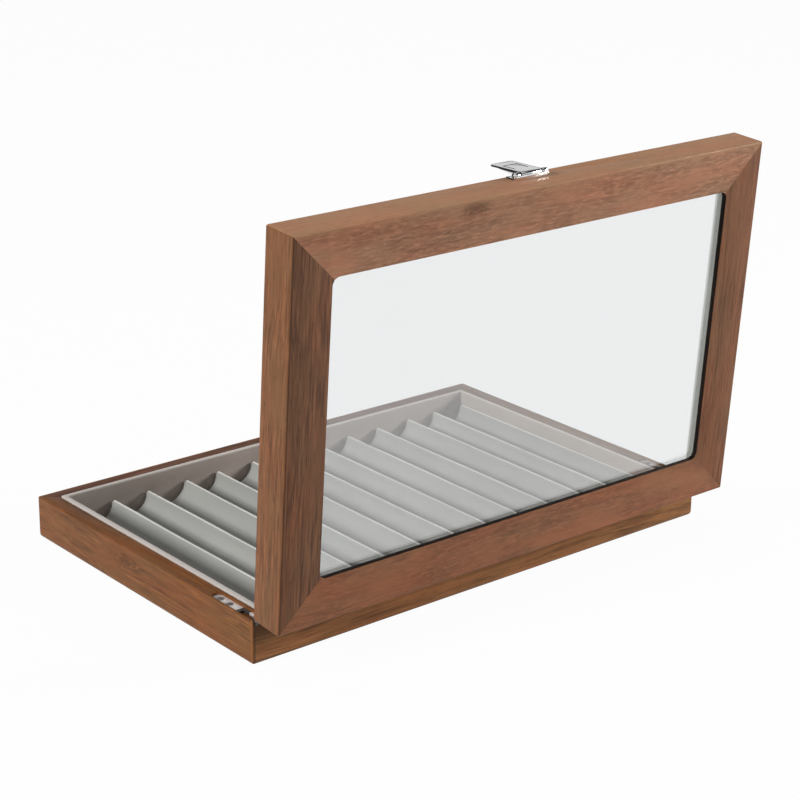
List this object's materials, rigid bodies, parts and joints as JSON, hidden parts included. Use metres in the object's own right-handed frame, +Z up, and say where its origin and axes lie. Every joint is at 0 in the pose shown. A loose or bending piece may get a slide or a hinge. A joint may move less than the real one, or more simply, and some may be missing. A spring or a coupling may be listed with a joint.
{
  "type": "pen display case",
  "caption": "Shallow wooden display case with a hinged, glazed lid, a hasp clasp and a velvet insert of half-round pen channels, shown open.",
  "frame": {"origin": "middle of the flat underside of the base", "axes": "+Z up, +X to the right of someone who faces the clasp side, -Y towards that person"},
  "size_m": [0.33, 0.2526, 0.2447],
  "materials": {
    "walnut": "satin lacquered walnut-coloured hardwood",
    "bottom_board": "plain thin board, matt",
    "lining_cloth": "short grey velvet over card",
    "insert_velvet": "short light grey velvet over foam strips",
    "insert_card": "plain grey card",
    "clear_glass": "clear float glass",
    "nickel": "nickel-plated steel",
    "clasp_chrome": "bright plated pressed steel"
  },
  "bodies": {
    "base": {"base_front_wall": "walnut", "base_back_wall": "walnut", "base_left_wall": "walnut", "base_right_wall": "walnut", "bottom_panel": "bottom_board", "base_front_lining": "lining_cloth", "base_back_lining": "lining_cloth", "base_left_lining": "lining_cloth", "base_right_lining": "lining_cloth", "insert_board": "insert_card", "ridge_01": "insert_velvet", "ridge_02": "insert_velvet", "ridge_03": "insert_velvet", "ridge_04": "insert_velvet", "ridge_05": "insert_velvet", "ridge_06": "insert_velvet", "ridge_07": "insert_velvet", "ridge_08": "insert_velvet", "ridge_09": "insert_velvet", "ridge_10": "insert_velvet", "ridge_11": "insert_velvet", "left_end_strip": "insert_velvet", "right_end_strip": "insert_velvet", "left_hinge_base_leaf": "nickel", "right_hinge_base_leaf": "nickel", "left_hinge_pin": "nickel", "right_hinge_pin": "nickel", "base_hinge_screws": "nickel", "catch_plate": "clasp_chrome", "catch_nails": "clasp_chrome"},
    "lid": {"lid_front_member": "walnut", "lid_back_member": "walnut", "lid_left_member": "walnut", "lid_right_member": "walnut", "glass_pane": "clear_glass", "lid_front_lining": "lining_cloth", "lid_back_lining": "lining_cloth", "lid_left_lining": "lining_cloth", "lid_right_lining": "lining_cloth", "left_hinge_lid_leaf": "nickel", "right_hinge_lid_leaf": "nickel", "lid_hinge_screws": "nickel", "clasp_plate": "clasp_chrome", "clasp_nails": "clasp_chrome", "clasp_pin": "clasp_chrome"},
    "hasp": {"hasp": "clasp_chrome"}
  },
  "joints": [
    {"name": "lid_hinge", "type": "hinge", "parent": "base", "child": "lid", "pos_m": [0, 0.108, 0.0262], "axis": [1, 0, 0], "range_deg": [0, 93.8]},
    {"name": "hasp_hinge", "type": "hinge", "parent": "lid", "child": "hasp", "pos_m": [0, 0.12962, 0.24314], "axis": [-1, 0, 0], "range_deg": [0, 110]}
  ]
}
